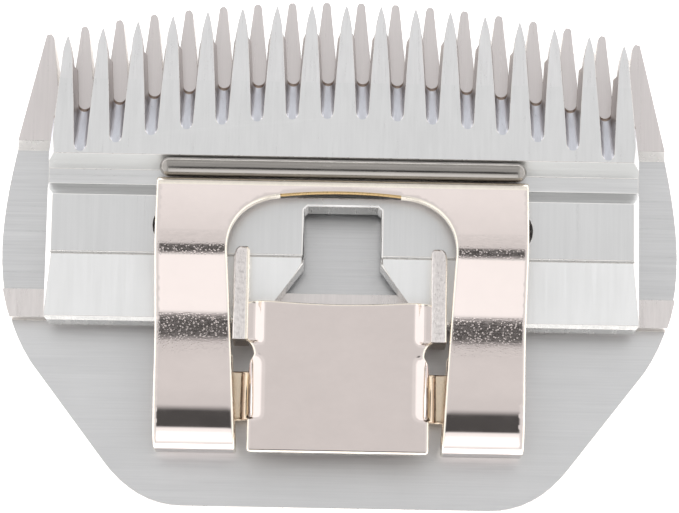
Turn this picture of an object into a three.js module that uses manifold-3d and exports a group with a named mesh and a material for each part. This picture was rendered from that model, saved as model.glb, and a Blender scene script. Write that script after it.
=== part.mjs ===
// A detachable blade set for an animal clipper: a comb, a cutter that slides on it,
// the spring that presses them together, and the socket that takes the clipper's tongue.
// Millimetres. +X is along the row of teeth, +Y is towards the tooth tips, +Z is up from
// the comb's underside. Inside this file Y is counted from the comb's rear edge.
import * as THREE from "three";
import * as BufferGeometryUtils from "three/addons/utils/BufferGeometryUtils.js";
import Module from "manifold-3d";

const wasm = await Module();
wasm.setup();

// ---- Driving dimensions -------------------------------------------------------------

const PITCH = 2.57;

const COMB = {
  length: 37.65,
  widest: 24.95,
  plateTop: 1.8,
  hollowFloor: 2.2,
  landTop: 3.3,
  railRear: 13.5,
  railFront: 15.6,
  shoulderFoot: 26.2,
  shoulder: 26.7,
  tipArcRadius: 86,
  gaps: 17,
  gapLength: 7.6,
  gapRootHalf: 0.2,
  gapKnee: 3,
  gapKneeHalf: 0.52,
  gapFlare: 0.105,
  tipThickness: 1.7,
  tipBevelLength: 6,
  tipHalf: 0.42,
  tipRound: 1,
  tipShoulder: 0.2,
  tipLean: 0,
  tipPoint: 0.12,
};

const CUTTER = {
  offset: 0.2,
  bottom: 3.35,
  halfWidth: 21.55,
  rear: 13,
  rearTop: 5.6,
  padRearTop: 5.85,
  padFront: 17.85,
  padFrontTop: 6.35,
  padNotch: 0.1,
  top: 6.3,
  grooveRear: 22.15,
  grooveFloorRear: 23.1,
  grooveFloorFront: 24.2,
  grooveFloorTop: 5.45,
  crest: 25.2,
  toothBreak: 31,
  toothBreakTop: 5.45,
  tip: 37.16,
  tipTop: 4.3,
  tipHalf: 0.46,
  tipRound: 2.27,
  tipShoulder: 1.1,
  tipLean: 0.08,
  tipPoint: 0.05,
  tipArcRadius: 76,
  gaps: 18,
  gapRoot: 31.45,
  gapRootHalf: 0.46,
  gapKnee: 3,
  gapKneeHalf: 0.62,
  gapFlare: 0.09,
  gapArcRadius: 82,
  gapSlant: 1.3,
  sideChamfer: 0.42,
  slotHalf: 2.8,
  slotFront: 21.55,
  slotChamfer: 0.13,
  flareFront: 17.3,
  flareHalf: 6,
  holeX: 12.2,
  holeY: 19.97,
  holeRadius: 1.6,
};

const GUIDE = { offset: 0.15, halfLength: 13.35, radius: 0.7, y: 24.2, z: 6.7 };

const SPRING = {
  offset: 0.15,
  sheet: 0.55,
  halfWidth: 13.35,
  lipY: 23.15,
  lipBottom: 6.42,
  barZ: 7.12,
  crestY: 18.4,
  crestZ: 8.6,
  valleyY: 12.1,
  valleyZ: 6.35,
  rearY: 3.98,
  rearZ: 6.85,
  rearBend: 1.5,
  rearReach: 2,
  leafZ: 2.1,
  leafFront: 11.3,
  windowFront: 22.25,
  windowHalfFront: 8.23,
  windowHalfRear: 7.3,
  windowCorner: 4,
};

const SOCKET = {
  offset: 0.1,
  sheet: 1,
  top: 7.15,
  wallOuter: 6.5,
  rear: 3.5,
  front: 14.25,
  frontCorner: 14.5,
  flangeTop: 3.42,
  flangeRear: 6.15,
  flangeFront: 9.75,
  flangeEnd: 13,
  reliefX: 7.3,
  reliefY: 10.5,
  reliefRadius: 1.3,
  fingerInner: 6.58,
  fingerOuter: 7.7,
  fingerRear: 11.3,
  fingerFoot: 12.75,
  fingerTip: 18.4,
  fingerBottom: 6.55,
  fingerTop: 7.05,
};

const SCREW = {
  x: 10.7,
  y: 7.95,
  radius: 1.2,
  headRadius: 2.3,
  headDepth: 1.05,
  headRecess: 0.08,
  top: 4.1,
  slotWidth: 0.6,
  slotDepth: 0.55,
};

const HOLE_CLEARANCE = 0.2;
const SMALL_ROUND_STEPS = 24;

// ---- Solids and booleans ------------------------------------------------------------

// Turns a closed three.js geometry into a manifold-3d solid.
function solid(geometry) {
  const bare = geometry.index ? geometry.toNonIndexed() : geometry.clone();
  for (const name of Object.keys(bare.attributes)) {
    if (name !== "position") bare.deleteAttribute(name);
  }
  const merged = BufferGeometryUtils.mergeVertices(bare, 1e-5);
  return new wasm.Manifold(new wasm.Mesh({
    numProp: 3,
    vertProperties: new Float32Array(merged.attributes.position.array),
    triVerts: new Uint32Array(merged.index.array),
  }));
}

// Turns a manifold-3d solid back into a three.js geometry.
function geometryOf(body) {
  const mesh = body.getMesh();
  const geometry = new THREE.BufferGeometry();
  geometry.setAttribute("position", new THREE.BufferAttribute(mesh.vertProperties, 3));
  geometry.setIndex(new THREE.BufferAttribute(mesh.triVerts, 1));
  geometry.computeVertexNormals();
  return geometry;
}

function cut(body, ...tools) {
  return tools.reduce((rest, tool) => rest.subtract(tool), body);
}

function join(...bodies) {
  return bodies.reduce((whole, body) => whole.add(body));
}

// A plan outline (x, y) raised from one height to another.
function plate(shape, bottom, top, curveSegments = 8) {
  const geometry = new THREE.ExtrudeGeometry(shape, {
    depth: top - bottom, bevelEnabled: false, curveSegments,
  });
  return solid(geometry.translate(0, 0, bottom));
}

// A side outline, drawn as (y, z), run from one x to another.
function sideBar(shape, left, right, curveSegments = 6) {
  const geometry = new THREE.ExtrudeGeometry(shape, {
    depth: right - left, bevelEnabled: false, curveSegments,
  });
  const axes = new THREE.Matrix4().makeBasis(
    new THREE.Vector3(0, 1, 0), new THREE.Vector3(0, 0, 1), new THREE.Vector3(1, 0, 0));
  return solid(geometry.applyMatrix4(axes).translate(left, 0, 0));
}

// A cross outline, drawn as (x, z), run from one y to another.
function crossBar(shape, rear, front, curveSegments = 4) {
  const geometry = new THREE.ExtrudeGeometry(shape, {
    depth: front - rear, bevelEnabled: false, curveSegments,
  });
  const axes = new THREE.Matrix4().makeBasis(
    new THREE.Vector3(1, 0, 0), new THREE.Vector3(0, 0, 1), new THREE.Vector3(0, -1, 0));
  return solid(geometry.applyMatrix4(axes).translate(0, front, 0));
}

function box(x, y, z) {
  const geometry = new THREE.BoxGeometry(x[1] - x[0], y[1] - y[0], z[1] - z[0]);
  return solid(geometry.translate((x[0] + x[1]) / 2, (y[0] + y[1]) / 2, (z[0] + z[1]) / 2));
}

// An upright round hole, pin or cone between two heights.
function upright(x, y, bottom, top, bottomRadius, topRadius = bottomRadius) {
  const geometry = new THREE.CylinderGeometry(
    topRadius, bottomRadius, top - bottom, SMALL_ROUND_STEPS);
  return solid(geometry.rotateX(Math.PI / 2).translate(x, y, (bottom + top) / 2));
}

function polygon(points) {
  return new THREE.Shape(points.map(([x, y]) => new THREE.Vector2(x, y)));
}

// The outline of a sheet of even thickness whose middle follows a path.
function sheetOutline(path, thickness, divisions) {
  const middle = path.getPoints(divisions);
  const sides = [1, -1].map((side) => middle.map((point, i) => {
    const before = middle[Math.max(i - 1, 0)];
    const after = middle[Math.min(i + 1, middle.length - 1)];
    const along = after.clone().sub(before).normalize();
    const half = side * thickness / 2;
    return new THREE.Vector2(point.x - along.y * half, point.y + along.x * half);
  }));
  return new THREE.Shape([...sides[0], ...sides[1].reverse()]);
}

// How far an arc of teeth falls back from its middle at x.
function arcDrop(radius, x) {
  return radius - Math.sqrt(radius * radius - x * x);
}

// The plan outline of one gap between teeth: a round root, nearly straight sides as far
// as the knee, and then a flare towards the tips.
function gapOutline(x, rootY, blade) {
  const reach = 14;
  const rootHalf = blade.gapRootHalf;
  const kneeHalf = blade.gapKneeHalf;
  const kneeY = rootY + blade.gapKnee;
  const mouthHalf = PITCH / 2 - 0.02;
  const mouthY = kneeY + (mouthHalf - kneeHalf) / blade.gapFlare;
  const outline = new THREE.Shape();
  outline.moveTo(x + mouthHalf, rootY + reach);
  outline.lineTo(x - mouthHalf, rootY + reach);
  outline.lineTo(x - mouthHalf, mouthY);
  outline.lineTo(x - kneeHalf, kneeY);
  outline.lineTo(x - rootHalf, rootY + rootHalf);
  outline.absarc(x, rootY + rootHalf, rootHalf, Math.PI, 2 * Math.PI, false);
  outline.lineTo(x + kneeHalf, kneeY);
  outline.lineTo(x + mouthHalf, mouthY);
  return outline;
}

// The plan of what is ground off between two neighbouring tooth tips, to shape them.
// Each tip lies on the arc of tips, half a pitch to either side of the gap at x.
function tipGrind(x, middleTip, blade) {
  const reach = 2;
  const point = PITCH / 2 - blade.tipPoint;
  const flank = PITCH / 2 - blade.tipHalf;
  const turn = flank + blade.tipLean;
  const left = middleTip - arcDrop(blade.tipArcRadius, x - PITCH / 2);
  const right = middleTip - arcDrop(blade.tipArcRadius, x + PITCH / 2);
  const outline = new THREE.Shape();
  outline.moveTo(x - point, left + reach);
  outline.lineTo(x - point, left);
  outline.quadraticCurveTo(
    x - turn, left - blade.tipShoulder, x - flank, left - blade.tipRound);
  outline.lineTo(x + flank, right - blade.tipRound);
  outline.quadraticCurveTo(
    x + turn, right - blade.tipShoulder, x + point, right);
  outline.lineTo(x + point, right + reach);
  return outline;
}

// ---- Comb ---------------------------------------------------------------------------

function combOutline() {
  const front = COMB.length;
  const radius = COMB.tipArcRadius;
  const outerTip = 22.1;
  const half = Math.asin(outerTip / radius);
  const outline = new THREE.Shape();
  outline.moveTo(-11.2, 0);
  outline.lineTo(11.2, 0);
  outline.quadraticCurveTo(14.6, 0, 17.05, 3.2);
  outline.lineTo(22.6, 10.4);
  outline.quadraticCurveTo(COMB.widest, 13.9, COMB.widest, 18.8);
  outline.quadraticCurveTo(COMB.widest, 22, 23.95, COMB.shoulder);
  outline.lineTo(outerTip, front - arcDrop(radius, outerTip));
  outline.absarc(0, front - radius, radius, Math.PI / 2 - half, Math.PI / 2 + half, false);
  outline.lineTo(-23.95, COMB.shoulder);
  outline.quadraticCurveTo(-COMB.widest, 22, -COMB.widest, 18.8);
  outline.quadraticCurveTo(-COMB.widest, 13.9, -22.6, 10.4);
  outline.lineTo(-17.05, 3.2);
  outline.quadraticCurveTo(-14.6, 0, -11.2, 0);
  return outline;
}

function makeComb() {
  const wide = 30;
  const above = COMB.landTop + 1;
  let comb = plate(combOutline(), 0, COMB.landTop, 8);
  comb = cut(
    comb,
    box([-wide, wide], [-1, COMB.railRear], [COMB.plateTop, above]),
    sideBar(polygon([
      [COMB.railFront, COMB.hollowFloor],
      [COMB.shoulderFoot, COMB.hollowFloor],
      [COMB.shoulder, COMB.landTop],
      [COMB.shoulder, above],
      [COMB.railFront, above],
    ]), -wide, wide),
    sideBar(polygon([
      [COMB.length - COMB.tipBevelLength, 0],
      [COMB.length - COMB.tipBevelLength, -1],
      [COMB.length + 1, -1],
      [COMB.length + 1, COMB.landTop - COMB.tipThickness],
      [COMB.length, COMB.landTop - COMB.tipThickness],
    ]), -wide, wide),
  );
  for (let i = 0; i < COMB.gaps; i += 1) {
    const x = (i - (COMB.gaps - 1) / 2) * PITCH;
    const rootY = COMB.length - COMB.gapLength - arcDrop(COMB.tipArcRadius, x);
    comb = cut(
      comb,
      plate(gapOutline(x, rootY, COMB), -1, above, 4),
      plate(tipGrind(x, COMB.length, COMB), -1, above, 5),
    );
  }
  for (const x of [-SCREW.x, SCREW.x]) {
    const seat = SCREW.headDepth + SCREW.headRecess;
    comb = cut(
      comb,
      upright(x, SCREW.y, -1, above, SCREW.radius + HOLE_CLEARANCE),
      upright(x, SCREW.y, -0.01, seat + HOLE_CLEARANCE,
        SCREW.headRadius + HOLE_CLEARANCE * 2, SCREW.radius + HOLE_CLEARANCE),
    );
  }
  return comb;
}

// ---- Cutter -------------------------------------------------------------------------

function cutterSide() {
  return polygon([
    [CUTTER.rear, CUTTER.bottom],
    [CUTTER.tip, CUTTER.bottom],
    [CUTTER.tip, CUTTER.tipTop],
    [CUTTER.toothBreak, CUTTER.toothBreakTop],
    [CUTTER.crest, CUTTER.top],
    [CUTTER.grooveFloorFront, CUTTER.grooveFloorTop],
    [CUTTER.grooveFloorRear, CUTTER.grooveFloorTop],
    [CUTTER.grooveRear, CUTTER.top],
    [CUTTER.padFront + CUTTER.padNotch, CUTTER.top],
    [CUTTER.padFront, CUTTER.top - CUTTER.padNotch],
    [CUTTER.padFront - 0.1, CUTTER.padFrontTop],
    [CUTTER.rear + 0.25, CUTTER.padRearTop],
    [CUTTER.rear, CUTTER.rearTop],
  ]);
}

// The plan of the cutter before its teeth are ground: a block with an arched front.
function cutterPlan() {
  const half = Math.asin(CUTTER.halfWidth / CUTTER.tipArcRadius);
  const corner = 0.4;
  const outline = new THREE.Shape();
  outline.moveTo(-CUTTER.halfWidth + corner, CUTTER.rear);
  outline.lineTo(CUTTER.halfWidth - corner, CUTTER.rear);
  outline.quadraticCurveTo(
    CUTTER.halfWidth, CUTTER.rear, CUTTER.halfWidth, CUTTER.rear + corner);
  outline.lineTo(
    CUTTER.halfWidth, CUTTER.tip - arcDrop(CUTTER.tipArcRadius, CUTTER.halfWidth));
  outline.absarc(0, CUTTER.tip - CUTTER.tipArcRadius, CUTTER.tipArcRadius,
    Math.PI / 2 - half, Math.PI / 2 + half, false);
  outline.lineTo(-CUTTER.halfWidth, CUTTER.rear + corner);
  outline.quadraticCurveTo(
    -CUTTER.halfWidth, CUTTER.rear, -CUTTER.halfWidth + corner, CUTTER.rear);
  return outline;
}

// Seen from the front, the block's two upper side edges are chamfered.
function cutterFront() {
  const w = CUTTER.halfWidth;
  const chamferFoot = CUTTER.top - CUTTER.sideChamfer;
  const crown = CUTTER.padFrontTop + 0.2;
  return polygon([
    [-w, CUTTER.bottom - 0.5], [w, CUTTER.bottom - 0.5], [w, chamferFoot],
    [w - CUTTER.sideChamfer - 0.2, crown], [-w + CUTTER.sideChamfer + 0.2, crown],
    [-w, chamferFoot],
  ]);
}

// The slot that the clipper's drive lever works in, open and flared at the rear.
function driveSlot() {
  const s = CUTTER.slotHalf;
  return polygon([
    [-s, CUTTER.flareFront], [-CUTTER.flareHalf, CUTTER.rear - 0.01],
    [-CUTTER.flareHalf, CUTTER.rear - 1], [CUTTER.flareHalf, CUTTER.rear - 1],
    [CUTTER.flareHalf, CUTTER.rear - 0.01], [s, CUTTER.flareFront],
    [s, CUTTER.slotFront - 0.25], [s - 0.25, CUTTER.slotFront],
    [-s + 0.25, CUTTER.slotFront], [-s, CUTTER.slotFront - 0.25],
  ]);
}

// A gap whose floor slants: it runs further back as it rises.
function slantedGap(x) {
  const rootY = CUTTER.gapRoot - arcDrop(CUTTER.gapArcRadius, x);
  const geometry = new THREE.ExtrudeGeometry(gapOutline(x, rootY, CUTTER), {
    depth: 5, bevelEnabled: false, curveSegments: 8,
  });
  geometry.translate(0, 0, -0.5);
  const points = geometry.attributes.position;
  for (let i = 0; i < points.count; i += 1) {
    const height = points.getZ(i);
    points.setY(i, points.getY(i) - CUTTER.gapSlant * height);
    points.setZ(i, CUTTER.bottom + height);
  }
  return solid(geometry);
}

// The slot with a chamfer that opens out towards the top of the cutter.
function slotCut() {
  const depth = CUTTER.slotChamfer;
  const funnel = new THREE.ExtrudeGeometry(driveSlot(), {
    depth: 3, bevelEnabled: true, bevelSegments: 1, bevelThickness: depth,
    bevelSize: depth, bevelOffset: 0, curveSegments: 1,
  });
  return join(
    plate(driveSlot(), 0, 10),
    solid(funnel.translate(0, 0, CUTTER.top)));
}

function makeCutter() {
  const wide = CUTTER.halfWidth + 1;
  let cutter = sideBar(cutterSide(), -wide, wide)
    .intersect(plate(cutterPlan(), CUTTER.bottom - 1, CUTTER.padFrontTop + 1))
    .intersect(crossBar(cutterFront(), CUTTER.rear - 1, CUTTER.tip + 1));
  cutter = cut(cutter, slotCut());
  for (let i = 0; i < CUTTER.gaps; i += 1) {
    const x = (i - (CUTTER.gaps - 1) / 2) * PITCH;
    cutter = cut(cutter, slantedGap(x), plate(tipGrind(x, CUTTER.tip, CUTTER), 0, 10, 5));
  }
  for (const x of [-CUTTER.holeX, CUTTER.holeX]) {
    cutter = cut(cutter, upright(x, CUTTER.holeY, 0, 10, CUTTER.holeRadius));
  }
  return cutter;
}

// ---- Tension spring -----------------------------------------------------------------

// The middle of the spring's sheet, seen from the side, from its front lip to the leaf
// that is clamped on the comb.
function springPath() {
  const fall = (SPRING.crestZ - SPRING.valleyZ) / (SPRING.crestY - SPRING.valleyY);
  const bend = SPRING.rearBend;
  const path = new THREE.Path();
  path.moveTo(SPRING.lipY, SPRING.lipBottom);
  path.lineTo(SPRING.lipY, SPRING.barZ - 0.35);
  path.quadraticCurveTo(SPRING.lipY, SPRING.barZ, SPRING.lipY - 0.4, SPRING.barZ + 0.1);
  path.lineTo(SPRING.crestY + 0.7, SPRING.crestZ - 0.22);
  path.quadraticCurveTo(
    SPRING.crestY, SPRING.crestZ, SPRING.crestY - 0.8, SPRING.crestZ - 0.8 * fall);
  path.lineTo(SPRING.valleyY + 1.7, SPRING.valleyZ + 1.7 * fall);
  path.quadraticCurveTo(
    SPRING.valleyY, SPRING.valleyZ, SPRING.valleyY - 1.8, SPRING.valleyZ + 0.1);
  path.lineTo(SPRING.rearY + SPRING.rearReach, SPRING.rearZ);
  path.absellipse(SPRING.rearY + SPRING.rearReach, SPRING.rearZ - bend,
    SPRING.rearReach, bend, Math.PI / 2, Math.PI, false);
  path.lineTo(SPRING.rearY, SPRING.leafZ + bend);
  path.absarc(SPRING.rearY + bend, SPRING.leafZ + bend, bend,
    Math.PI, 1.5 * Math.PI, false);
  path.lineTo(SPRING.leafFront, SPRING.leafZ);
  return path;
}

// The window between the spring's legs, open at the rear.
function springWindow() {
  const f = SPRING.windowHalfFront;
  const r = SPRING.windowHalfRear;
  const c = SPRING.windowCorner;
  const front = SPRING.windowFront;
  const outline = new THREE.Shape();
  outline.moveTo(-r, SPRING.rearY - 2);
  outline.lineTo(r, SPRING.rearY - 2);
  outline.lineTo(f, front - c - 0.4);
  outline.bezierCurveTo(f, front - 1.8, f - 1.8, front - 0.4, f - c, front - 0.3);
  outline.quadraticCurveTo(0, front + 0.2, c - f, front - 0.3);
  outline.bezierCurveTo(1.8 - f, front - 0.4, -f, front - 1.8, -f, front - c - 0.4);
  return outline;
}

function makeSpring() {
  const side = sheetOutline(springPath(), SPRING.sheet, 7);
  let spring = sideBar(side, -SPRING.halfWidth, SPRING.halfWidth);
  spring = cut(spring, plate(springWindow(), 0, 10, 6));
  for (const x of [-SCREW.x, SCREW.x]) {
    spring = cut(spring,
      upright(x - SPRING.offset, SCREW.y, 0, SCREW.top + 0.3, SCREW.radius + HOLE_CLEARANCE));
  }
  return spring;
}

// ---- Blade guide --------------------------------------------------------------------

// A round bar with domed ends that lies in the cutter's groove, in front of the lip.
function makeGuide() {
  const capsule = new THREE.CapsuleGeometry(
    GUIDE.radius, 2 * (GUIDE.halfLength - GUIDE.radius), 3, 14);
  return solid(capsule.rotateZ(Math.PI / 2).translate(0, GUIDE.y, GUIDE.z));
}

// ---- Socket -------------------------------------------------------------------------

// The bent section of the socket: a raised top, two walls and two outward flanges.
function socketSection() {
  const t = SOCKET.sheet;
  const wall = SOCKET.wallOuter - t / 2;
  const roof = SOCKET.top - t / 2;
  const foot = SOCKET.flangeTop - t / 2;
  const bend = 0.9;
  const path = new THREE.Path();
  path.moveTo(-SOCKET.flangeEnd, foot);
  path.lineTo(-wall - bend, foot);
  path.quadraticCurveTo(-wall, foot, -wall, foot + bend);
  path.lineTo(-wall, roof - bend);
  path.quadraticCurveTo(-wall, roof, -wall + bend, roof);
  path.lineTo(wall - bend, roof);
  path.quadraticCurveTo(wall, roof, wall, roof - bend);
  path.lineTo(wall, foot + bend);
  path.quadraticCurveTo(wall, foot, wall + bend, foot);
  path.lineTo(SOCKET.flangeEnd, foot);
  return sheetOutline(path, t, 4);
}

// The roof with its slightly hollow front edge and the roots of the two fingers.
function socketRoof() {
  const w = SOCKET.wallOuter - 0.05;
  const c = 0.4;
  const outline = new THREE.Shape();
  outline.moveTo(-w + c, SOCKET.rear);
  outline.lineTo(w - c, SOCKET.rear);
  outline.quadraticCurveTo(w, SOCKET.rear, w, SOCKET.rear + c);
  outline.lineTo(w, SOCKET.fingerRear);
  outline.lineTo(SOCKET.fingerOuter - 0.3, SOCKET.fingerRear);
  outline.lineTo(SOCKET.fingerOuter - 0.3, SOCKET.frontCorner - 0.5);
  outline.quadraticCurveTo(w, SOCKET.frontCorner, w - 1, SOCKET.frontCorner);
  outline.quadraticCurveTo(0, SOCKET.front - 0.25, 1 - w, SOCKET.frontCorner);
  outline.quadraticCurveTo(
    -w, SOCKET.frontCorner, 0.3 - SOCKET.fingerOuter, SOCKET.frontCorner - 0.5);
  outline.lineTo(0.3 - SOCKET.fingerOuter, SOCKET.fingerRear);
  outline.lineTo(-w, SOCKET.fingerRear);
  outline.lineTo(-w, SOCKET.rear + c);
  outline.quadraticCurveTo(-w, SOCKET.rear, -w + c, SOCKET.rear);
  return outline;
}

// The flanges' plan: two strips whose outer ends are half round.
function flangePlan() {
  const radius = (SOCKET.flangeFront - SOCKET.flangeRear) / 2;
  const middle = (SOCKET.flangeFront + SOCKET.flangeRear) / 2;
  const centre = SOCKET.flangeEnd - radius;
  const outline = new THREE.Shape();
  outline.moveTo(-centre, SOCKET.flangeRear);
  outline.lineTo(centre, SOCKET.flangeRear);
  outline.absarc(centre, middle, radius, -Math.PI / 2, Math.PI / 2, false);
  outline.lineTo(-centre, SOCKET.flangeFront);
  outline.absarc(-centre, middle, radius, Math.PI / 2, 1.5 * Math.PI, false);
  return outline;
}

function makeSocket() {
  const t = SOCKET.sheet;
  const bent = crossBar(socketSection(), SOCKET.flangeRear, SOCKET.flangeFront)
    .intersect(plate(flangePlan(), 0, 10));
  let socket = join(bent, plate(socketRoof(), SOCKET.top - t, SOCKET.top));
  for (const side of [-1, 1]) {
    const edges = [side * SOCKET.fingerInner, side * SOCKET.fingerOuter];
    const across = [Math.min(...edges), Math.max(...edges)];
    socket = join(
      socket,
      box(across, [SOCKET.fingerRear, SOCKET.fingerTip],
        [SOCKET.fingerBottom, SOCKET.fingerTop]),
      box(across, [SOCKET.fingerRear, SOCKET.fingerFoot],
        [SOCKET.flangeTop, SOCKET.fingerTop]));
    socket = cut(
      socket,
      upright(side * SOCKET.reliefX, SOCKET.reliefY, 0, 10, SOCKET.reliefRadius),
      upright(side * SCREW.x - SOCKET.offset, SCREW.y, 0, SCREW.top + 0.3,
        SCREW.radius + HOLE_CLEARANCE),
    );
  }
  return socket;
}

// ---- Screws -------------------------------------------------------------------------

// A countersunk screw set from below, with a straight slot across its head.
function makeScrew() {
  const bottom = SCREW.headRecess;
  const neck = bottom + SCREW.headDepth;
  const profile = [
    [0, bottom], [SCREW.headRadius, bottom], [SCREW.headRadius, bottom + 0.15],
    [SCREW.radius, neck], [SCREW.radius, SCREW.top - 0.25],
    [SCREW.radius - 0.25, SCREW.top], [0, SCREW.top],
  ];
  const turned = new THREE.LatheGeometry(
    profile.map(([r, z]) => new THREE.Vector2(r, z)), SMALL_ROUND_STEPS);
  const body = solid(turned.rotateX(Math.PI / 2));
  return cut(body, box(
    [-SCREW.headRadius - 1, SCREW.headRadius + 1],
    [-SCREW.slotWidth / 2, SCREW.slotWidth / 2],
    [-1, bottom + SCREW.slotDepth]));
}

// ---- Assembly -----------------------------------------------------------------------

const GROUND_STEEL = { color: 0xcdcdce, roughness: 0.38, metalness: 1 };
const NICKEL = { color: 0xd9d0cb, roughness: 0.12, metalness: 1 };
const SCREW_STEEL = { color: 0x9a9896, roughness: 0.35, metalness: 1 };

function piece(name, body, look) {
  const mesh = new THREE.Mesh(geometryOf(body), new THREE.MeshStandardMaterial(look));
  mesh.name = name;
  return mesh;
}

const cutter = piece("cutter", makeCutter(), GROUND_STEEL);
cutter.position.x = CUTTER.offset;

const screws = [["screw_left", -1], ["screw_right", 1]].map(([name, side]) => {
  const screw = piece(name, makeScrew(), SCREW_STEEL);
  screw.position.set(side * SCREW.x, SCREW.y, 0);
  return screw;
});

const bladeSet = new THREE.Group();
bladeSet.position.y = -COMB.length / 2;
bladeSet.add(
  piece("comb", makeComb(), GROUND_STEEL),
  cutter,
  piece("blade_guide", makeGuide(), NICKEL).translateX(GUIDE.offset),
  piece("tension_spring", makeSpring(), NICKEL).translateX(SPRING.offset),
  piece("socket", makeSocket(), NICKEL).translateX(SOCKET.offset),
  ...screws,
);

export default bladeSet;
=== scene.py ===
import math

import bmesh
import bpy
import numpy as np
from mathutils import Matrix, Vector, noise
from mathutils.geometry import delaunay_2d_cdt


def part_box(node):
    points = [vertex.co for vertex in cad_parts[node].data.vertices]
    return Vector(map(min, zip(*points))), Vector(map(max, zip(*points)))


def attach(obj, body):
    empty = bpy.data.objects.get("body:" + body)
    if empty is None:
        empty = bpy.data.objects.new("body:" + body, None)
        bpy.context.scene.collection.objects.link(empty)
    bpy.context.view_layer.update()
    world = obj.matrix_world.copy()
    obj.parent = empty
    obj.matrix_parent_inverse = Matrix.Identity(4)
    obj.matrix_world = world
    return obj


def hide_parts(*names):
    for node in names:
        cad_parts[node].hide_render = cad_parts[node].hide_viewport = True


# A detachable clipper blade set. Shapes are worked out in millimetres, with Y counted from
# the comb's rear edge, and put into the frame in metres by to_frame().
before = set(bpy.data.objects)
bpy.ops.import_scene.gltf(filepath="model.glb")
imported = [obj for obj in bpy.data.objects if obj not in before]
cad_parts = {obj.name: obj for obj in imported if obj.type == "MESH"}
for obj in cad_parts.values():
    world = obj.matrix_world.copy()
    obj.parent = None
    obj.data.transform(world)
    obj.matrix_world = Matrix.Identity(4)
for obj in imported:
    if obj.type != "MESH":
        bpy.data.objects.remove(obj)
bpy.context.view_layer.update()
MM = 0.001
REAR_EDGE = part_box("comb")[0].y

SHEET = 0.55
SPRING_HALF = 13.35
SPRING_TAPER = 0.15
SPRING_OFFSET = 0.15
SOCKET_OFFSET = 0.1
LEAF_FRONT = 11.3
LEAF_Z = 2.1
SOCKET_TOP = 7.15
SOCKET_SHEET = 1.0
SCREW_X = 10.7
SCREW_Y = 7.95
BUMP_DEPTH = 0.01
EDGE_EASE = 0.035
SCREW_EASE = 0.06


# ---- Small helpers -------------------------------------------------------------------

def to_frame(points):
    points = np.asarray(points, float) * MM
    points[:, 1] += REAR_EDGE
    return points


def to_mm(point):
    """A point of the frame as (x, y, z) in millimetres, with y from the rear edge."""
    return point.x / MM, (point.y - REAR_EDGE) / MM, point.z / MM


def smoothstep(t):
    t = np.clip(t, 0.0, 1.0)
    return t * t * (3 - 2 * t)


def quad(a, b, c, steps):
    """Points of a quadratic curve, without its first point."""
    out = []
    for i in range(1, steps + 1):
        t = i / steps
        out.append(tuple((1 - t) ** 2 * p + 2 * t * (1 - t) * q + t * t * r
                         for p, q, r in zip(a, b, c)))
    return out


def cubic(a, b, c, d, steps):
    """Points of a cubic curve, without its first point."""
    out = []
    for i in range(1, steps + 1):
        t = i / steps
        u = 1 - t
        out.append(tuple(u ** 3 * p + 3 * u * u * t * q + 3 * u * t * t * r + t ** 3 * s
                         for p, q, r, s in zip(a, b, c, d)))
    return out


def fillet(corners, steps=6):
    """A closed outline from (x, y, radius) corners, each rounded by its radius."""
    out = []
    count = len(corners)
    for i, (x, y, r) in enumerate(corners):
        p = Vector((x, y))
        if r <= 0:
            out.append((x, y))
            continue
        before = Vector(corners[i - 1][:2])
        after = Vector(corners[(i + 1) % count][:2])
        a = p + (before - p).normalized() * r
        b = p + (after - p).normalized() * r
        out.append(tuple(a))
        out += quad(a, p, b, steps)
    return out


def circle(x, y, r, steps=32):
    """A clockwise circle, which is how a hole's outline runs."""
    return [(x + r * math.cos(-a), y + r * math.sin(-a))
            for a in (2 * math.pi * i / steps for i in range(steps))]


def resample(loop, step):
    """A closed outline with its points no further apart than step."""
    out = []
    for a, b in zip(loop, loop[1:] + loop[:1]):
        length = math.dist(a, b)
        if length < 1e-6:
            continue
        n = max(1, math.ceil(length / step))
        out += [(a[0] + (b[0] - a[0]) * i / n, a[1] + (b[1] - a[1]) * i / n)
                for i in range(n)]
    return np.array(out)


def outward(loop):
    """Mitred normals of a closed outline, to the right of its direction."""
    ahead = np.roll(loop, -1, 0) - loop
    ahead /= np.linalg.norm(ahead, axis=1)[:, None]
    along = ahead + np.roll(ahead, 1, 0)
    along /= np.linalg.norm(along, axis=1)[:, None]
    normal = np.stack([along[:, 1], -along[:, 0]], 1)
    return normal / np.maximum((ahead * along).sum(1), 0.6)[:, None]


def inside(points, loops):
    x, y = points[:, 0], points[:, 1]
    odd = np.zeros(len(points), bool)
    for loop in loops:
        for (x0, y0), (x1, y1) in zip(loop, np.roll(loop, -1, 0)):
            if y0 == y1:
                continue
            crosses = (y0 > y) != (y1 > y)
            odd ^= crosses & (x < x0 + (y - y0) * (x1 - x0) / (y1 - y0))
    return odd


def add_piece(name, mesh, body, materials, replaces=None):
    obj = bpy.data.objects.new(name, mesh)
    bpy.context.scene.collection.objects.link(obj)
    for material in materials:
        mesh.materials.append(material)
    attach(obj, body)
    if replaces:
        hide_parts(replaces)
    return obj


def finish_mesh(bm, name):
    bmesh.ops.recalc_face_normals(bm, faces=bm.faces)
    for face in bm.faces:
        face.smooth = True
    mesh = bpy.data.meshes.new(name)
    bm.to_mesh(mesh)
    bm.free()
    return mesh


def weighted(obj):
    """Large flat faces keep their own normal beside small rounded edges."""
    modifier = obj.modifiers.new("normals", "WEIGHTED_NORMAL")
    modifier.mode = "FACE_AREA"
    modifier.weight = 80
    modifier.keep_sharp = True


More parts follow.
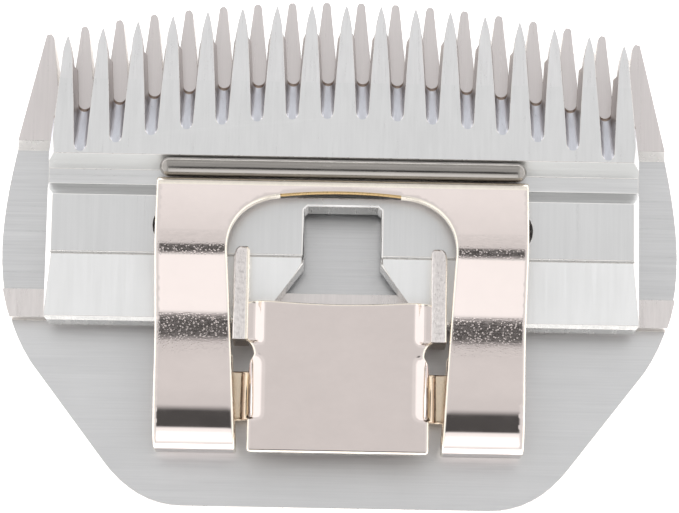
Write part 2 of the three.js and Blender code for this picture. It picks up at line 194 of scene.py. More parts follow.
def sheet_mesh(name, loops, step, place, half, rim, arc=4):
    """A sheet of metal with rounded edges. The loops are its outline and holes in the
    flat, and place(u, v, h) bends it, where h runs from -1 at the bottom to 1 at the top."""
    loops = [resample(loop, step) for loop in loops]
    normals = [outward(loop) for loop in loops]
    inner = [loop - rim * n for loop, n in zip(loops, normals)]
    everything = np.concatenate(inner)
    lo, hi = everything.min(0), everything.max(0)
    us = np.arange(lo[0] + step / 2, hi[0], step)
    vs = np.arange(lo[1] + step / 2, hi[1], step)
    grid = np.stack(np.meshgrid(us, vs), -1).reshape(-1, 2)
    grid = grid[inside(grid, inner)]
    gap = np.full(len(grid), 1e9)
    for p in everything:
        gap = np.minimum(gap, (grid[:, 0] - p[0]) ** 2 + (grid[:, 1] - p[1]) ** 2)
    grid = grid[gap > (0.55 * step) ** 2]
    points = np.concatenate([everything, grid])
    edges, start = [], 0
    for loop in inner:
        n = len(loop)
        edges += [(start + i, start + (i + 1) % n) for i in range(n)]
        start += n
    result = delaunay_2d_cdt([Vector(p) for p in points], edges, [], 0, 1e-9)
    flat = np.array([tuple(v) for v in result[0]])
    triangles = np.array(result[2])
    if len(flat) != len(points):
        raise RuntimeError(f"{name}: the outline crosses itself")
    middle = flat[triangles].mean(1)
    triangles = triangles[inside(middle, inner)]

    bm = bmesh.new()

    def layer(uv, h):
        return [bm.verts.new(p) for p in to_frame(place(uv[:, 0], uv[:, 1], h))]

    top = layer(flat, 1.0)
    bottom = layer(flat, -1.0)
    for a, b, c in triangles:
        bm.faces.new((top[a], top[b], top[c]))
        bm.faces.new((bottom[c], bottom[b], bottom[a]))
    start = 0
    for loop, n in zip(loops, normals):
        count = len(loop)
        rings = [top[start:start + count]]
        turns = [math.pi / 2 * i / arc for i in range(arc)]
        for side, angles in ((1, turns[::-1]), (-1, turns)):
            for angle in angles:
                out = rim * (math.cos(angle) - 1)
                h = side * (half - rim + rim * math.sin(angle)) / half
                rings.append(layer(loop + out * n, h))
        rings.append(bottom[start:start + count])
        for ring, below in zip(rings, rings[1:]):
            for i in range(count):
                j = (i + 1) % count
                face = bm.faces.new((ring[i], below[i], below[j], ring[j]))
                # the rounded edges take the piece's second metal, a painted highlight on the
                # spring and socket
                face.material_index = 1
        start += count
    return finish_mesh(bm, name)


def loft_mesh(name, sections):
    """A closed solid through rings of points that all have the same count."""
    bm = bmesh.new()
    rings = [[bm.verts.new(p) for p in to_frame(s)] for s in sections]
    for ring, after in zip(rings, rings[1:]):
        count = len(ring)
        for i in range(count):
            j = (i + 1) % count
            bm.faces.new((ring[i], ring[j], after[j], after[i]))
    bm.faces.new(rings[0][::-1])
    bm.faces.new(rings[-1])
    return finish_mesh(bm, name)


# ---- Materials -----------------------------------------------------------------------

def node_setter(tree):
    def add(kind, at=(0, 0), **values):
        node = tree.nodes.new(kind)
        node.location = at
        for key, value in values.items():
            setattr(node, key, value)
        return node
    return add


def metal(name, color, rough, grain, tint=0.06, rough_spread=0.08, bump=0.25,
          blotch=0.04, warm=(1.0, 1.0, 1.0), pits=0.0, pit_size=0.09):
    """A bare or plated metal. grain gives the length, in mm along X, Y and Z, of the
    streaks that grinding or rolling has left in it."""
    material = bpy.data.materials.new(name)
    material.use_nodes = True
    tree = material.node_tree
    tree.nodes.clear()
    add = node_setter(tree)
    link = tree.links.new
    shader = add("ShaderNodeBsdfPrincipled", (600, 0))
    shader.inputs["Metallic"].default_value = 1.0
    out = add("ShaderNodeOutputMaterial", (900, 0))
    link(shader.outputs[0], out.inputs[0])
    place = add("ShaderNodeTexCoord", (-1100, 0))
    stretch = add("ShaderNodeMapping", (-900, 100))
    stretch.inputs["Scale"].default_value = [1000.0 / g for g in grain]
    link(place.outputs["Object"], stretch.inputs["Vector"])
    streaks = add("ShaderNodeTexNoise", (-700, 100))
    streaks.inputs["Scale"].default_value = 1.0
    streaks.inputs["Detail"].default_value = 5.0
    streaks.inputs["Roughness"].default_value = 0.65
    link(stretch.outputs[0], streaks.inputs["Vector"])
    cloud = add("ShaderNodeTexNoise", (-700, -200))
    cloud.inputs["Scale"].default_value = 220.0
    cloud.inputs["Detail"].default_value = 4.0
    link(place.outputs["Object"], cloud.inputs["Vector"])

    def spread(source, low, high, at):
        node = add("ShaderNodeMapRange", at)
        node.inputs["From Min"].default_value = 0.28
        node.inputs["From Max"].default_value = 0.72
        node.inputs["To Min"].default_value = low
        node.inputs["To Max"].default_value = high
        link(source, node.inputs["Value"])
        return node.outputs[0]

    tone = add("ShaderNodeMix", (-200, 200), data_type="RGBA")
    link(spread(streaks.outputs[0], 0.0, 1.0, (-450, 200)), tone.inputs["Factor"])
    tone.inputs["A"].default_value = [c * (1 - tint) * w for c, w in zip(color, warm)] + [1]
    tone.inputs["B"].default_value = [min(1.0, c * (1 + tint)) for c in color] + [1]
    shade = add("ShaderNodeMix", (50, 200), data_type="RGBA", blend_type="MULTIPLY")
    shade.inputs["Factor"].default_value = 1.0
    link(tone.outputs["Result"], shade.inputs["A"])
    grey = add("ShaderNodeCombineColor", (-150, -50))
    for socket in grey.inputs[:3]:
        link(spread(cloud.outputs[0], 1 - blotch, 1.0, (-450, -100)), socket)
    link(grey.outputs[0], shade.inputs["B"])
    link(shade.outputs["Result"], shader.inputs["Base Color"])
    link(spread(streaks.outputs[0], rough - rough_spread, rough + rough_spread,
                (50, -150)), shader.inputs["Roughness"])
    relief = add("ShaderNodeBump", (350, -350))
    relief.inputs["Strength"].default_value = bump
    relief.inputs["Distance"].default_value = BUMP_DEPTH * MM
    link(streaks.outputs[0], relief.inputs["Height"])
    if pits > 0:
        cells = add("ShaderNodeTexVoronoi", (-700, -500))
        cells.inputs["Scale"].default_value = 1000.0 / pit_size
        link(place.outputs["Object"], cells.inputs["Vector"])
        craters = add("ShaderNodeMapRange", (-450, -500), interpolation_type="SMOOTHSTEP")
        craters.inputs["From Min"].default_value = 0.05
        craters.inputs["From Max"].default_value = 0.4
        link(cells.outputs["Distance"], craters.inputs["Value"])
        pitted = add("ShaderNodeBump", (350, -550))
        pitted.inputs["Strength"].default_value = pits
        pitted.inputs["Distance"].default_value = BUMP_DEPTH * MM
        link(craters.outputs[0], pitted.inputs["Height"])
        link(pitted.outputs[0], relief.inputs["Normal"])
    link(relief.outputs[0], shader.inputs["Normal"])
    return material


STEEL = (0.735, 0.735, 0.74)
NICKEL = (0.81, 0.725, 0.695)
plate_steel = metal("steel_plate", STEEL, 0.38, (7.0, 0.12, 0.5), tint=0.045)
hollow_steel = metal("steel_hollow", (0.71, 0.71, 0.715), 0.34, (9.0, 0.16, 0.5), tint=0.08)
rail_steel = metal("steel_rail", (0.82, 0.775, 0.76), 0.30, (0.6, 6.0, 0.5), tint=0.10)
tooth_steel = metal("steel_comb_tooth", (0.755, 0.71, 0.70), 0.33, (0.16, 6.0, 0.4),
                    tint=0.04)
# painted shade: a darker brownish steel for the comb's upright faces
wall_shade_steel = metal("steel_wall_painted_shade", (0.62, 0.57, 0.53), 0.38, (0.4, 0.4, 2.0), tint=0.1)
under_steel = metal("steel_underside", STEEL, 0.32, (0.12, 8.0, 0.5), tint=0.06)
edge_steel = metal("steel_edge", (0.76, 0.735, 0.71), 0.30, (0.6, 0.6, 0.6), tint=0.06)
cutter_mid = metal("cutter_ground", (0.765, 0.765, 0.765), 0.34, (0.2, 9.0, 0.5), tint=0.03)
# partly painted highlight: the pad's rougher ground finish is real, its near-white base
# colour stands in for the light it catches
cutter_pad = metal("cutter_pad", (0.99, 0.99, 0.985), 0.42, (0.16, 9.0, 0.5), tint=0.015,
                   rough_spread=0.03)
cutter_tip = metal("cutter_tooth", (0.785, 0.78, 0.782), 0.32, (0.16, 6.0, 0.5), tint=0.04)
# painted shade: the groove's front part, in front of the blade guide, is painted darker
groove_front_shade = metal("cutter_groove_front_painted_shade", (0.56, 0.56, 0.55), 0.34, (9.0, 0.2, 0.3),
                     tint=0.06)
groove_steel = metal("cutter_groove", (0.74, 0.74, 0.74), 0.33, (9.0, 0.2, 0.3), tint=0.08)
gullet_steel = metal("cutter_gullet", (0.64, 0.65, 0.70), 0.34, (0.2, 1.4, 0.5), tint=0.08)
# painted shade: a darker brownish steel for the cutter's tooth flanks
flank_shade_steel = metal("cutter_flank_painted_shade", (0.68, 0.65, 0.64), 0.36, (0.4, 0.4, 2.0), tint=0.1)
polished = metal("cutter_polished", (0.78, 0.77, 0.75), 0.25, (0.5, 0.5, 3.0), tint=0.05)
nickel = metal("nickel", NICKEL, 0.07, (1.6, 1.2, 1.2), tint=0.02, rough_spread=0.03,
               bump=0.04, blotch=0.03)
nickel_bend = metal("nickel_bend", NICKEL, 0.14, (0.5, 0.12, 0.2), tint=0.05,
                    rough_spread=0.06, bump=0.3, blotch=0.05, pits=0.6, pit_size=0.17)
# painted highlight: a brighter, warmer nickel for the rounded sheet edges, the top of the
# spring's lip bend and the sides of the socket's fingers
nickel_rim_highlight = metal("nickel_rim_highlight", (0.96, 0.88, 0.78), 0.20, (0.6, 0.6, 0.4), tint=0.06,
                   bump=0.3)
# painted shade: a darker golden nickel for the socket's folded-down flanges under the roof
nickel_flange_shade = metal("nickel_flange_shade", (0.80, 0.67, 0.52), 0.18, (0.8, 0.8, 0.5), tint=0.1,
                    bump=0.2)
# painted highlight: a near-white steel for the rounded edges behind the groove
edge_highlight = metal("cutter_edge_painted_highlight", (0.97, 0.96, 0.94), 0.30, (3.0, 0.4, 0.4),
                    tint=0.03)
# painted shadow: a dark brown for the cutter's lowest gullet faces, at the gap over the
# comb, and for the rear faces of the socket's fingers
gullet_shadow = metal("cutter_gullet_painted_shadow", (0.30, 0.24, 0.20), 0.3, (0.3, 0.3, 0.3), tint=0.2)
# painted shade: a darker golden-brown for the upper rim of the spring window's crown, and a
# near-black painted shadow for its lower rim
crown_painted_shade = metal("nickel_crown_painted_shade", (0.62, 0.44, 0.22), 0.3, (0.3, 0.3, 0.3), tint=0.1)
shadow_edge = metal("nickel_lower_painted_shadow", (0.10, 0.09, 0.08), 0.4, (0.3, 0.3, 0.3), tint=0.1)
sheared = metal("nickel_sheared", (0.86, 0.81, 0.79), 0.32, (0.12, 0.35, 0.2), tint=0.16,
                bump=0.8, blotch=0.12, pits=0.8, pit_size=0.22)
# painted shade: the guide rod's dark base colour stands in for the shade and dark
# reflections it shows in the groove
guide_shade_metal = metal("guide_steel", (0.34, 0.32, 0.30), 0.20, (4.0, 0.3, 0.3), tint=0.1)
screw_metal = metal("screw_steel", (0.60, 0.59, 0.58), 0.35, (0.5, 0.1, 0.5), tint=0.1)


# ---- Comb, cutter and screws: the frame's own shapes with their edges eased ----------

def eased(node, width, limit=35.0):
    """A copy of a CAD node's mesh, with flat faces merged and its sharp edges rounded."""
    bm = bmesh.new()
    bm.from_mesh(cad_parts[node].data)
    bmesh.ops.remove_doubles(bm, verts=bm.verts, dist=2e-6)
    bmesh.ops.dissolve_limit(bm, angle_limit=math.radians(0.4), verts=bm.verts,
                             edges=bm.edges, use_dissolve_boundaries=False)
    sharp = [e for e in bm.edges
             if len(e.link_faces) == 2 and e.calc_face_angle() > math.radians(limit)]
    made = bmesh.ops.bevel(bm, geom=sharp, offset=width * MM, offset_type="OFFSET",
                           segments=2, profile=0.5, affect="EDGES", clamp_overlap=False)
    for face in bm.faces:
        face.select = False
    for face in made["faces"]:
        face.select = True
    return bm


def paint(bm, choose, metals, edge):
    """Gives each face its metal by its place, and the rounded edges the edge metal."""
    for face in bm.faces:
        y, z = to_mm(face.calc_center_median())[1:]
        chosen = edge if face.select else choose(y, z, face.normal)
        face.material_index = metals.index(chosen)


def smooth_mesh(bm, name, limit=32.0):
    for face in bm.faces:
        face.smooth = True
    for edge in bm.edges:
        if len(edge.link_faces) == 2 and edge.calc_face_angle() > math.radians(limit):
            edge.smooth = False
    mesh = bpy.data.meshes.new(name)
    bm.to_mesh(mesh)
    bm.free()
    return mesh


COMB_RAIL = (13.45, 15.65)
COMB_SHOULDER = (26.1, 26.9)
HOLLOW_FRONT = 26.5
HOLLOW_HEIGHT = (2.3, 2.6)


def comb_zone(y, z, n):
    """The comb's metal at a depth and height, where a face looks along n."""
    if n.z < -0.6:
        return under_steel
    if COMB_SHOULDER[0] < y < COMB_SHOULDER[1] and z > HOLLOW_HEIGHT[0] and n.y < -0.6:
        return edge_steel
    # painted shade: upright faces take the darker wall steel
    if n.z < 0.6:
        return wall_shade_steel
    if y < COMB_RAIL[0]:
        return plate_steel
    if y < COMB_RAIL[1]:
        return rail_steel
    if y < HOLLOW_FRONT and z < HOLLOW_HEIGHT[1]:
        return hollow_steel
    return tooth_steel


comb_metals = [plate_steel, hollow_steel, rail_steel, tooth_steel, wall_shade_steel, under_steel,
               edge_steel]
bm = eased("comb", EDGE_EASE)
paint(bm, comb_zone, comb_metals, edge_steel)
comb = add_piece("comb_body", smooth_mesh(bm, "comb_body"), "comb_set",
                 comb_metals, "comb")
weighted(comb)

REAR_CHAMFER = 13.3
PAD_FRONT = 17.8
GROOVE = (22.1, 25.25)
GROOVE_WALL = 24.2
GROOVE_EDGES = (22.0, 23.3)
TEETH_REAR = 25.3
TOOTH_BREAK = 30.9
GULLET_LIP = 3.56


def cutter_zone(y, z, n):
    """The cutter's metal at a depth and height, where a face looks along n."""
    if n.z < -0.6:
        return under_steel
    if y < REAR_CHAMFER or (y < GROOVE[0] and n.z < 0.6):
        return polished
    # painted shadow: gullet faces below GULLET_LIP, where the cutter meets the comb, are
    # painted dark
    if y > TEETH_REAR and z < GULLET_LIP:
        return gullet_shadow
    # painted shade: side-facing flanks take the darker flank steel
    if abs(n.x) > 0.8:
        return flank_shade_steel
    if y > TEETH_REAR and n.z < 0.93:
        return gullet_steel
    # painted shade: the front of the groove takes the darker groove steel
    if GROOVE_WALL < y < GROOVE[1]:
        return groove_front_shade
    if GROOVE[0] < y <= GROOVE_WALL:
        return groove_steel
    # partly painted highlight: the rear pad takes the near-white pad steel
    if y < PAD_FRONT:
        return cutter_pad
    if y < TOOTH_BREAK:
        return cutter_mid
    return cutter_tip


cutter_metals = [cutter_mid, cutter_pad, cutter_tip, polished, gullet_steel, under_steel,
                 flank_shade_steel, groove_steel, edge_steel, gullet_shadow, groove_front_shade,
                 edge_highlight]
bm = eased("cutter", EDGE_EASE)
# the faces are cut at the height where the painted gullet shadow begins
bmesh.ops.bisect_plane(bm, geom=bm.verts[:] + bm.edges[:] + bm.faces[:], dist=1e-7,
                       plane_co=(0, 0, GULLET_LIP * MM), plane_no=(0, 0, 1))
paint(bm, cutter_zone, cutter_metals, edge_steel)
for face in bm.faces:   # painted highlight: the rounded edges behind the groove take a near-white metal
    y = to_mm(face.calc_center_median())[1]
    if face.select and GROOVE_EDGES[0] < y < GROOVE_EDGES[1] and abs(face.normal.x) < 0.5:
        face.material_index = cutter_metals.index(edge_highlight)
cutter = add_piece("cutter_body", smooth_mesh(bm, "cutter_body"), "cutter",
                   cutter_metals, "cutter")
weighted(cutter)

for side in ("left", "right"):
    bm = eased("screw_" + side, SCREW_EASE, 30)
    screw = add_piece("screw_body_" + side, smooth_mesh(bm, "screw_body_" + side),
                      "comb_set", [screw_metal], "screw_" + side)
    weighted(screw)


# ---- Tension spring ------------------------------------------------------------------

def spring_path():
    """The middle of the sheet seen from the side, as (y, z) from the lip to the leaf."""
    crest, valley, rear = (18.4, 8.6), (12.1, 6.35), (3.98, 6.85)
    reach, bend = 3.72, 1.5
    fall = (crest[1] - valley[1]) / (crest[0] - valley[0])
    pts = [(23.15, 6.42), (23.15, 6.77)]
    pts += quad(pts[-1], (23.15, 7.12), (22.75, 7.22), 10)
    pts += quad(pts[-1], (20.9, 7.84), (crest[0] + 0.7, crest[1] - 0.22), 12)
    pts += quad(pts[-1], crest, (crest[0] - 0.8, crest[1] - 0.8 * fall), 24)
    pts.append((valley[0] + 1.7, valley[1] + 1.7 * fall))
    pts += quad(pts[-1], valley, (valley[0] - 1.8, valley[1] + 0.1), 24)
    pts.append((rear[0] + reach, rear[1]))
    pts += cubic(pts[-1], (rear[0] + 1.62, rear[1]), (rear[0], rear[1] - 0.35),
                 (rear[0], rear[1] - bend), 32)
    pts += [(rear[0] + bend - bend * math.cos(a), LEAF_Z + bend - bend * math.sin(a))
            for a in np.linspace(0, math.pi / 2, 20)]
    pts.append((LEAF_FRONT, LEAF_Z))
    return np.array(pts)


class Bent:
    """A path measured along its length, with the normal on its outer side."""

    def __init__(self, points, step=0.04, ease=0.12):
        length = np.r_[0, np.cumsum(np.linalg.norm(np.diff(points, axis=0), axis=1))]
        self.total = length[-1]
        self.s = np.linspace(0, self.total, int(self.total / step) + 1)
        self.p = np.stack([np.interp(self.s, length, points[:, i]) for i in (0, 1)], 1)
        tangent = np.gradient(self.p, self.s, axis=0)
        width = max(1, int(ease / step))
        kernel = np.ones(2 * width + 1) / (2 * width + 1)
        tangent = np.stack([np.convolve(np.pad(tangent[:, i], width, "edge"), kernel,
                                        "valid") for i in (0, 1)], 1)
        tangent /= np.linalg.norm(tangent, axis=1)[:, None]
        self.n = np.stack([tangent[:, 1], -tangent[:, 0]], 1)

    def at(self, s):
        p = [np.interp(s, self.s, self.p[:, i]) for i in (0, 1)]
        n = [np.interp(s, self.s, self.n[:, i]) for i in (0, 1)]
        return p, n


bent = Bent(spring_path())
rearmost = int(np.argmin(bent.p[:, 0]))


def length_at(y):
    """How far along the upper part of the spring the depth y is."""
    return float(np.interp(-y, -bent.p[:rearmost, 0], bent.s[:rearmost]))


def leg_inner(y):
    return 7.3 + (min(y, 17.85) - 1.98) * 0.93 / 15.87


def spring_outline():
    """The spring's outline as (x, length): round the lip, the right leg and its leaf,
    the window, then the left leg."""
    total = bent.total
    leaf = leg_inner(LEAF_FRONT)
    first = length_at(17.85)
    legs = [(leg_inner(float(np.interp(s, bent.s, bent.p[:, 0]))), s)
            for s in np.linspace(first, total - 1, 90)]
    corner = cubic((8.23, 17.85), (8.23, 20.45), (6.43, 21.85), (4.23, 21.95), 24)
    crown = quad((4.23, 21.95), (0, 22.45), (-4.23, 21.95), 24)[:-1]
    corner = [(x, length_at(y)) for x, y in corner]
    crown = [(x, length_at(y)) for x, y in crown]
    inner = legs[::-1] + corner + crown
    inner += [(-x, s) for x, s in corner[::-1]] + [(-x, s) for x, s in legs]
    front, rear = SPRING_HALF + SPRING_TAPER, SPRING_HALF - SPRING_TAPER
    corners = [(-front, 0, 0.3), (front, 0, 0.3), (rear, total, 0.5), (leaf, total, 0.4)]
    corners += [(x, s, 0) for x, s in inner]
    corners += [(-leaf, total, 0.4), (-rear, total, 0.5)]
    return fillet(corners)


FOLD_FRONT = 22.2
FOLD_HALF = 4.3
FOLD_DEPTH = 0.7
FOLD_DROP = 0.045


def place_spring(x, s, h):
    """Bends the flat along the path, with a faint lens-shaped fold at the window."""
    (y, z), (ny, nz) = bent.at(s)
    edge = length_at(FOLD_FRONT)
    fold = edge - FOLD_DEPTH * (1 - (x / FOLD_HALF) ** 2)
    near = (np.abs(x) < FOLD_HALF) * (s < edge + 1.5)
    drop = FOLD_DROP * np.clip((s - fold) / FOLD_DEPTH, 0, 1) * near
    return np.stack([x + SPRING_OFFSET, y + h * SHEET / 2 * ny,
                     z + h * SHEET / 2 * nz - drop], 1)


leaf_hole = bent.total - (LEAF_FRONT - SCREW_Y)
spring_loops = [spring_outline(),
                circle(SCREW_X - SPRING_OFFSET, leaf_hole, 1.4),
                circle(-SCREW_X - SPRING_OFFSET, leaf_hole, 1.4)]
mesh = sheet_mesh("spring", spring_loops, 0.26, place_spring, SHEET / 2, 0.15)
CREST_BEND = (17.5, 19.2)
VALLEY_BEND = (10.6, 13.45)
LIP_BEND = 22.75
CROWN_EDGE = (21.5, 22.5)
CROWN_HALF = 4.4
spring_metals = [nickel, nickel_rim_highlight, nickel_bend, crown_painted_shade, shadow_edge]
for polygon in mesh.polygons:
    x, y = to_mm(polygon.center)[:2]
    n = polygon.normal
    now = spring_metals[polygon.material_index]
    chosen = now
    if now == nickel and abs(n.x) < 0.5:
        if CREST_BEND[0] < y < CREST_BEND[1] or VALLEY_BEND[0] < y < VALLEY_BEND[1]:
            chosen = nickel_bend
        # painted highlight on the upward-facing faces of the lip bend
        elif y > LIP_BEND and n.z > 0.05:
            chosen = nickel_rim_highlight
    # painted shade: the crown's upper rim faces take the golden-brown, its lower rim faces
    # the painted shadow
    elif now == nickel_rim_highlight and CROWN_EDGE[0] < y < CROWN_EDGE[1]:
        if abs(x) < CROWN_HALF and n.z > -0.5:
            chosen = crown_painted_shade if n.z > 0.35 else shadow_edge
    polygon.material_index = spring_metals.index(chosen)
spring = add_piece("spring_body", mesh, "comb_set", spring_metals,
                   "tension_spring")
weighted(spring)


# ---- Socket --------------------------------------------------------------------------

def socket_section():
    """The mid-sheet of the flange section as (x, z), from the centre outwards."""
    roof = SOCKET_TOP - SOCKET_SHEET / 2
    foot, wall, bend, turn = 2.92, 6.0, 0.7, 1.15
    pts = [(0.0, roof), (wall - bend, roof)]
    pts += [(wall - bend + bend * math.sin(a), roof - bend + bend * math.cos(a))
            for a in np.linspace(0, math.pi / 2, 16)[1:]]
    pts += [(wall + turn - turn * math.cos(a), foot + turn - turn * math.sin(a))
            for a in np.linspace(0, math.pi / 2, 20)]
    pts.append((13.0, foot))
    return np.array(pts)


section = Bent(socket_section(), 0.03, 0.06)
FLANGE = (6.15, 9.75)


def place_socket(w, y, h):
    """Bends the socket's flat: a roof, flanges folded down and lowered front corners,
    with a shallow pressed ring in the middle."""
    side = np.sign(w)
    u = np.abs(w)
    (bx, bz), (nx, nz) = section.at(u)
    nx, nz = -nx, -nz
    roof = SOCKET_TOP - SOCKET_SHEET / 2
    folded = smoothstep((y - 5.75) / 0.5) * smoothstep((10.6 - y) / 0.7)
    folded = np.maximum(folded, (u > 7.6) * 1.0)
    lowered = smoothstep((y - 11.2) / 0.5) * smoothstep((14.75 - y) / 0.45)
    drop = 0.44 * lowered * smoothstep((u - 5.45) / 0.62)
    ring = np.hypot(w, y - 11.6)
    dent = 0.004 * np.exp(-((ring - 1.1) / 0.5) ** 2) + 0.012 * np.exp(-(ring / 3.2) ** 2)
    mx = u * (1 - folded) + bx * folded
    mz = roof * (1 - folded) + bz * folded - drop / 2 - dent
    kx, kz = nx * folded, (1 - folded) + nz * folded
    norm = np.hypot(kx, kz)
    half = SOCKET_SHEET / 2 - drop / 2
    return np.stack([SOCKET_OFFSET + side * (mx + h * half * kx / norm), y,
                     mz + h * half * kz / norm], 1)


def socket_outline():
    end = section.total
    centre = end - (FLANGE[1] - FLANGE[0]) / 2
    middle = sum(FLANGE) / 2
    radius = (FLANGE[1] - FLANGE[0]) / 2
    right = fillet([(0, 3.5, 0), (6.5, 3.5, 0.3), (6.5, FLANGE[0] - 0.25, 0.12),
                    (6.9, FLANGE[0], 0.15), (centre, FLANGE[0], 0)])[1:]
    right += [(centre + radius * math.sin(a), middle - radius * math.cos(a))
              for a in np.linspace(0, math.pi, 25)[1:]]
    hole = (7.42, 10.5)
    r = 1.3
    right += [(8.3, FLANGE[1]), (7.5, FLANGE[1] - 0.05)]
    right += [(hole[0] + r * math.cos(a), hole[1] + r * math.sin(a))
              for a in np.radians(np.linspace(236, 108, 24))]
    right += fillet([(7.1, 11.8, 0), (7.5, 11.87, 0.18), (7.47, 14.1, 0.25),
                     (6.3, 14.45, 0.3), (5.0, 14.45, 0)])[1:]
    right += quad((5.0, 14.45), (2.5, 14.27), (0, 14.25), 12)
    left = [(-x, y) for x, y in right[::-1]][1:]
    return right + left


mesh = sheet_mesh("socket", [socket_outline()], 0.2, place_socket, SOCKET_SHEET / 2, 0.14)
FLANGE_TOP = 6.0
FLANGE_INNER = 5.9
socket_metals = [nickel, nickel_rim_highlight, nickel_flange_shade]
# painted shade: faces below the roof and outside the wall bend, the flanges, take the darker
# golden nickel
for polygon in mesh.polygons:
    x, _, z = to_mm(polygon.center)
    if z < FLANGE_TOP and abs(x) > FLANGE_INNER:
        polygon.material_index = socket_metals.index(nickel_flange_shade)
socket = add_piece("socket_body", mesh, "comb_set", socket_metals,
                   "socket")
weighted(socket)


def finger_mesh(name, side):
    """One arm of the socket: a bar whose upper edge was left rough by the shear."""
    inner, outer, rear, tip = 6.58, 7.7, 11.6, 18.4
    top, bottom, rim = 7.05, 6.55, 0.12
    sections = []
    rows = list(np.linspace(rear, tip - 0.3, 80)) + list(tip - 0.3 + 0.3 * np.sin(
        np.linspace(0, math.pi / 2, 7)[1:]))
    for y in rows:
        left, right = inner, outer
        close = max(0.0, 1 - (tip - y) / 0.3) if y > tip - 0.3 else 0.0
        left += 0.14 * close ** 2
        right -= 0.14 * close ** 2 + 0.22 * max(0.0, 1 - (tip - y) / 0.75) ** 1.5
        high = top - 0.14 * close ** 2
        low = bottom if y > 12.75 else 3.45
        ring = []
        for angle in np.linspace(180, 90, 5):
            a = math.radians(angle)
            ring.append((left + rim + rim * math.cos(a), high - rim + rim * math.sin(a)))
        for t in np.linspace(0, 1, 9)[1:-1]:
            x = left + rim + (right - left - 2 * rim) * t
            rough = noise.noise(Vector((x * 6, y * 4, side * 9))) * 0.035
            rough += noise.noise(Vector((x * 14, y * 9, side * 5))) * 0.02
            ring.append((x, high - 0.03 + rough * math.sin(math.pi * t)))
        for angle in np.linspace(90, 0, 5):
            a = math.radians(angle)
            ring.append((right - rim + rim * math.cos(a), high - rim + rim * math.sin(a)))
        ring += [(right, low + 0.08), (right - 0.08, low), (left + 0.08, low),
                 (left, low + 0.08)]
        sections.append([(SOCKET_OFFSET + side * x, y, z) for x, z in ring])
    return loft_mesh(name, sections)


ROUGH_TOP = 6.85
ROUGH_BAND = (6.7, 7.66)
finger_metals = [sheared, nickel_rim_highlight, gullet_shadow]
for side, label in ((-1, "left"), (1, "right")):
    mesh = finger_mesh("socket_finger_" + label, side)
    for polygon in mesh.polygons:
        x, _, z = to_mm(polygon.center)
        rough = ROUGH_BAND[0] < abs(x) < ROUGH_BAND[1] and z > ROUGH_TOP
        # painted highlight: all faces but the rough top take the bright rim nickel
        chosen = sheared if rough else nickel_rim_highlight
        # painted shade: the finger's rear-facing faces take the dark gullet shadow colour
        if polygon.normal.y < -0.7:
            chosen = gullet_shadow
        polygon.material_index = finger_metals.index(chosen)
    finger = add_piece("socket_finger_" + label, mesh, "comb_set",
                       finger_metals)
    weighted(finger)


# ---- Blade guide ---------------------------------------------------------------------

def guide_mesh(name):
    """A round bar with domed ends."""
    half, radius, y0, z0 = 13.35, 0.7, 24.2, 6.7
    profile = []
    for a in np.linspace(4, 90, 14):
        profile.append((-half + radius - radius * math.cos(math.radians(a)),
                        radius * math.sin(math.radians(a))))
    profile += [(x, radius) for x in np.linspace(-half + 2, 0, 12)]
    profile += [(-x, r) for x, r in profile[::-1][1:]]
    sections = [[(SPRING_OFFSET + x, y0 + r * math.cos(a), z0 + r * math.sin(a))
                 for a in np.linspace(0, 2 * math.pi, 41)[:-1]] for x, r in profile]
    return loft_mesh(name, sections)


# the guide carries the painted shade metal
add_piece("guide_body", guide_mesh("guide_body"), "comb_set",
          [guide_shade_metal], "blade_guide")

# ---- Floor, light and camera ---------------------------------------------------------

scene = bpy.context.scene
bm = bmesh.new()
bmesh.ops.create_grid(bm, x_segments=8, y_segments=8, size=3.0)
mesh = bpy.data.meshes.new("floor")
bm.to_mesh(mesh)
bm.free()
floor = bpy.data.objects.new("floor", mesh)
floor.location.z = -0.00003
scene.collection.objects.link(floor)
paper = bpy.data.materials.new("paper")
paper.use_nodes = True
shader = paper.node_tree.nodes["Principled BSDF"]
shader.inputs["Base Color"].default_value = (0.93, 0.93, 0.93, 1)
shader.inputs["Roughness"].default_value = 0.9
shader.inputs["Specular IOR Level"].default_value = 0.1
shader.inputs["Emission Color"].default_value = (1, 1, 1, 1)
shader.inputs["Emission Strength"].default_value = 0.6
floor.data.materials.append(paper)


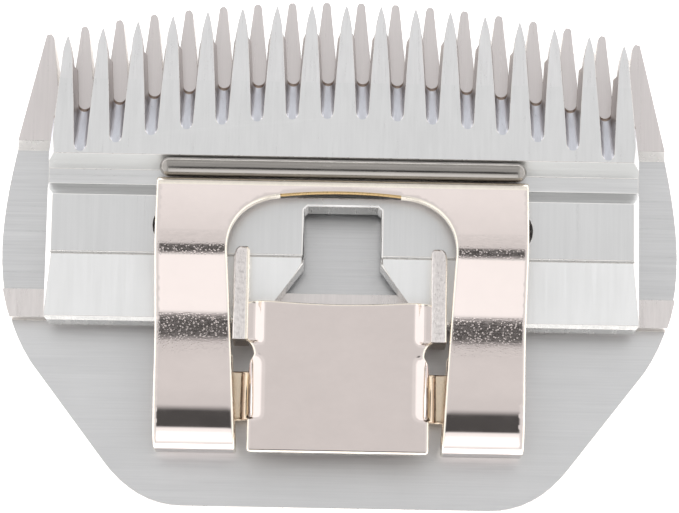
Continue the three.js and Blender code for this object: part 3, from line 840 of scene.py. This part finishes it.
def studio_world():
    """A soft studio: a bright wall beyond the object's rear, a greyer one beyond its
    teeth, a dark patch overhead on the rear side and paler walls left and right."""
    world = bpy.data.worlds.new("studio")
    scene.world = world
    world.use_nodes = True
    tree = world.node_tree
    tree.nodes.clear()
    add = node_setter(tree)
    link = tree.links.new
    way = add("ShaderNodeTexCoord")
    split = add("ShaderNodeSeparateXYZ")
    link(way.outputs["Generated"], split.inputs[0])
    lean = add("ShaderNodeMath", operation="ARCTAN2")
    link(split.outputs["Y"], lean.inputs[0])
    link(split.outputs["Z"], lean.inputs[1])
    scale = add("ShaderNodeMapRange")
    scale.inputs["From Min"].default_value = -math.pi
    scale.inputs["From Max"].default_value = math.pi
    link(lean.outputs[0], scale.inputs["Value"])
    ramp = add("ShaderNodeValToRGB")
    link(scale.outputs[0], ramp.inputs[0])
    # Degrees from straight up, negative towards the rear, each with its brightness.
    stops = [(-180, 0.8), (-95, 0.9), (-76, 1.2), (-62, 2.1), (-42, 1.7), (-33, 1.26),
             (-28, 1.2), (-24, 0.09), (-4, 0.09), (0, 0.78), (35, 0.84), (42, 0.86),
             (48, 1.06), (75, 0.75), (100, 0.62), (180, 0.7)]
    band = ramp.color_ramp
    while len(band.elements) < len(stops):
        band.elements.new(0.5)
    for element, (angle, value) in zip(band.elements, stops):
        element.position = (angle + 180) / 360
        element.color = (value / 2, value / 2, value / 2, 1)
    sideways = add("ShaderNodeMath", operation="ABSOLUTE")
    link(split.outputs["X"], sideways.inputs[0])
    outer = add("ShaderNodeMapRange", interpolation_type="SMOOTHSTEP")
    outer.inputs["From Min"].default_value = 0.1
    outer.inputs["From Max"].default_value = 0.2
    link(sideways.outputs[0], outer.inputs["Value"])
    mix = add("ShaderNodeMix", data_type="RGBA")
    link(outer.outputs[0], mix.inputs["Factor"])
    link(ramp.outputs[0], mix.inputs["A"])
    walls = add("ShaderNodeMapRange", interpolation_type="SMOOTHSTEP")
    walls.inputs["From Min"].default_value = 0.35
    walls.inputs["From Max"].default_value = 0.55
    walls.inputs["To Min"].default_value = 0.45
    walls.inputs["To Max"].default_value = 0.66
    link(sideways.outputs[0], walls.inputs["Value"])
    link(walls.outputs[0], mix.inputs["B"])
    back = add("ShaderNodeBackground")
    back.inputs["Strength"].default_value = 2.0
    link(mix.outputs["Result"], back.inputs["Color"])
    out = add("ShaderNodeOutputWorld")
    link(back.outputs[0], out.inputs[0])


studio_world()
lamp = bpy.data.lights.new("overhead", "AREA")
lamp.shape = "SQUARE"
lamp.size = 0.9
lamp.energy = 9.0
overhead = bpy.data.objects.new("overhead", lamp)
overhead.location = (0, 0, 0.9)
overhead.visible_glossy = False
overhead.visible_camera = False
scene.collection.objects.link(overhead)

TARGET = Vector((0.0, -0.19, 2.0)) * MM
ELEVATION = math.radians(80)
DISTANCE = 219 * MM
ROLL = math.radians(1.05)
lens = bpy.data.cameras.new("camera")
lens.lens = 157
lens.sensor_width = 36
lens.clip_start = 0.01
camera = bpy.data.objects.new("camera", lens)
scene.collection.objects.link(camera)
away = Vector((0, -math.cos(ELEVATION), math.sin(ELEVATION)))
right = Vector((1, 0, 0))
up = away.cross(right)
turn_view = Matrix.Rotation(ROLL, 4, away)
basis = Matrix((right, up, away)).transposed().to_4x4()
camera.matrix_world = Matrix.Translation(TARGET + away * DISTANCE) @ turn_view @ basis
scene.camera = camera
scene.view_settings.view_transform = "Standard"
